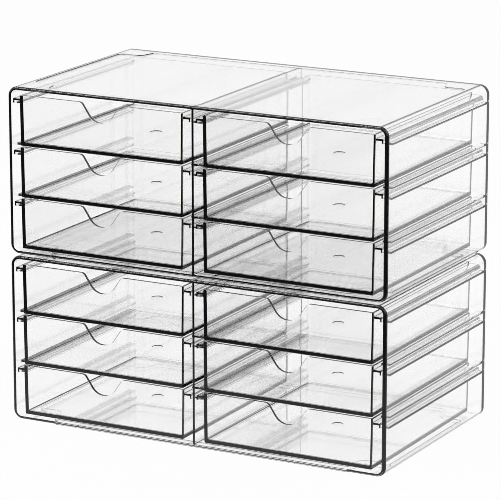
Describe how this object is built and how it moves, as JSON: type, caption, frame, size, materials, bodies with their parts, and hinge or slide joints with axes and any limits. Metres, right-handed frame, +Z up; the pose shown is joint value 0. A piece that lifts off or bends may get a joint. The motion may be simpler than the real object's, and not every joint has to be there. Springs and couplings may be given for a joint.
{
  "type": "craft storage drawers",
  "caption": "Two stacked clear plastic units, each a moulded case with six finger-notched drawers that slide out to the front.",
  "frame": {"origin": "centre of the base that the lower unit's stacking rim stands on", "axes": "+Z up, -Y out of the drawer fronts, +X to the right as seen from the front"},
  "size_m": [0.3204, 0.176, 0.265],
  "materials": {
    "clear_case": "clear, polished moulded polystyrene",
    "clear_drawer": "clear, polished moulded polystyrene"
  },
  "bodies": {
    "lower_case": {"lower_case": "clear_case"},
    "lower_left_top_drawer": {"lower_left_top_drawer": "clear_drawer"},
    "lower_left_middle_drawer": {"lower_left_middle_drawer": "clear_drawer"},
    "lower_left_bottom_drawer": {"lower_left_bottom_drawer": "clear_drawer"},
    "lower_right_top_drawer": {"lower_right_top_drawer": "clear_drawer"},
    "lower_right_middle_drawer": {"lower_right_middle_drawer": "clear_drawer"},
    "lower_right_bottom_drawer": {"lower_right_bottom_drawer": "clear_drawer"},
    "upper_case": {"upper_case": "clear_case"},
    "upper_left_top_drawer": {"upper_left_top_drawer": "clear_drawer"},
    "upper_left_middle_drawer": {"upper_left_middle_drawer": "clear_drawer"},
    "upper_left_bottom_drawer": {"upper_left_bottom_drawer": "clear_drawer"},
    "upper_right_top_drawer": {"upper_right_top_drawer": "clear_drawer"},
    "upper_right_middle_drawer": {"upper_right_middle_drawer": "clear_drawer"},
    "upper_right_bottom_drawer": {"upper_right_bottom_drawer": "clear_drawer"}
  },
  "joints": [
    {"name": "lower_left_top_slide", "type": "slide", "parent": "lower_case", "child": "lower_left_top_drawer", "axis": [0, -1, 0], "range_m": [0, 0.13]},
    {"name": "lower_left_middle_slide", "type": "slide", "parent": "lower_case", "child": "lower_left_middle_drawer", "axis": [0, -1, 0], "range_m": [0, 0.13]},
    {"name": "lower_left_bottom_slide", "type": "slide", "parent": "lower_case", "child": "lower_left_bottom_drawer", "axis": [0, -1, 0], "range_m": [0, 0.13]},
    {"name": "lower_right_top_slide", "type": "slide", "parent": "lower_case", "child": "lower_right_top_drawer", "axis": [0, -1, 0], "range_m": [0, 0.13]},
    {"name": "lower_right_middle_slide", "type": "slide", "parent": "lower_case", "child": "lower_right_middle_drawer", "axis": [0, -1, 0], "range_m": [0, 0.13]},
    {"name": "lower_right_bottom_slide", "type": "slide", "parent": "lower_case", "child": "lower_right_bottom_drawer", "axis": [0, -1, 0], "range_m": [0, 0.13]},
    {"name": "upper_unit_lift", "type": "slide", "parent": "lower_case", "child": "upper_case", "axis": [0, 0, 1], "range_m": [0, 0.06]},
    {"name": "upper_left_top_slide", "type": "slide", "parent": "upper_case", "child": "upper_left_top_drawer", "axis": [0, -1, 0], "range_m": [0, 0.13]},
    {"name": "upper_left_middle_slide", "type": "slide", "parent": "upper_case", "child": "upper_left_middle_drawer", "axis": [0, -1, 0], "range_m": [0, 0.13]},
    {"name": "upper_left_bottom_slide", "type": "slide", "parent": "upper_case", "child": "upper_left_bottom_drawer", "axis": [0, -1, 0], "range_m": [0, 0.13]},
    {"name": "upper_right_top_slide", "type": "slide", "parent": "upper_case", "child": "upper_right_top_drawer", "axis": [0, -1, 0], "range_m": [0, 0.13]},
    {"name": "upper_right_middle_slide", "type": "slide", "parent": "upper_case", "child": "upper_right_middle_drawer", "axis": [0, -1, 0], "range_m": [0, 0.13]},
    {"name": "upper_right_bottom_slide", "type": "slide", "parent": "upper_case", "child": "upper_right_bottom_drawer", "axis": [0, -1, 0], "range_m": [0, 0.13]}
  ]
}
